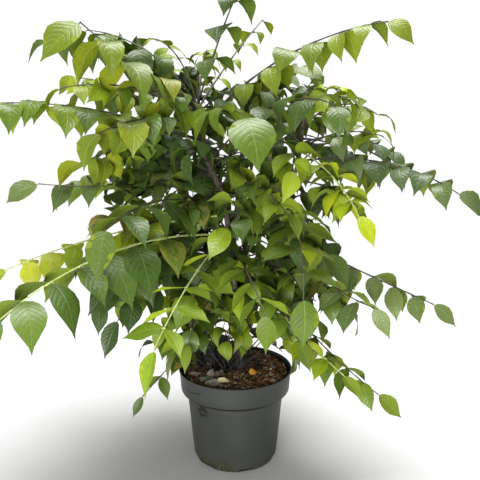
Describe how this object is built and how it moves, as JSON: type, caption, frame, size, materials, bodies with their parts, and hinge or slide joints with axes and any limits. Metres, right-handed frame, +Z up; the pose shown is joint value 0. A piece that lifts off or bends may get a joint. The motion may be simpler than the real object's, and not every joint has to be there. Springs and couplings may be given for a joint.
{
  "type": "potted blue sausage fruit",
  "caption": "Young shrub of upright grey-brown canes and long feathered green leaves that arch out and hang, in a round black nursery pot filled with bark-topped soil.",
  "frame": {"origin": "middle of the pot's flat underside", "axes": "+Z up along the pot, -Y towards the side seen in the picture, +X to that side's right"},
  "size_m": [1.1488, 0.9115, 1.1955],
  "materials": {
    "pot": "matte",
    "soil": "rough",
    "bark": "rough",
    "leaf_dark": "satin",
    "leaf_green": "satin",
    "leaf_light": "satin",
    "leaf_deep": "satin"
  },
  "bodies": {
    "root": {"pot": "pot", "soil": "soil", "trunk": "bark", "bough_right": "bark", "bough_back": "bark", "bough_left": "bark", "leaf_01": "leaf_dark", "leaf_02": "leaf_green", "leaf_03": "leaf_light", "leaf_04": "leaf_deep", "leaf_05": "leaf_dark", "leaf_06": "leaf_green", "leaf_07": "leaf_light", "leaf_08": "leaf_deep", "leaf_09": "leaf_dark", "leaf_10": "leaf_green", "leaf_11": "leaf_light", "leaf_12": "leaf_deep", "leaf_13": "leaf_dark", "leaf_14": "leaf_green", "leaf_15": "leaf_light", "leaf_16": "leaf_deep", "leaf_17": "leaf_dark", "leaf_18": "leaf_green", "leaf_19": "leaf_light", "leaf_20": "leaf_deep", "leaf_21": "leaf_dark", "leaf_22": "leaf_green", "leaf_23": "leaf_light", "leaf_24": "leaf_deep", "leaf_25": "leaf_dark", "leaf_26": "leaf_green", "leaf_27": "leaf_light", "leaf_28": "leaf_deep", "leaf_29": "leaf_dark", "leaf_30": "leaf_green", "leaf_31": "leaf_light", "leaf_32": "leaf_deep", "leaf_33": "leaf_dark", "leaf_34": "leaf_green", "leaf_35": "leaf_light", "leaf_36": "leaf_deep", "leaf_37": "leaf_dark", "leaf_38": "leaf_green", "leaf_39": "leaf_light", "leaf_40": "leaf_deep", "leaf_41": "leaf_dark", "leaf_42": "leaf_green", "leaf_43": "leaf_light", "leaf_44": "leaf_deep", "leaf_45": "leaf_dark", "leaf_46": "leaf_green", "leaf_47": "leaf_light", "leaf_48": "leaf_deep", "leaf_49": "leaf_dark", "leaf_50": "leaf_green", "leaf_51": "leaf_light", "leaf_52": "leaf_deep", "leaf_53": "leaf_dark", "leaf_54": "leaf_green"}
  },
  "joints": []
}
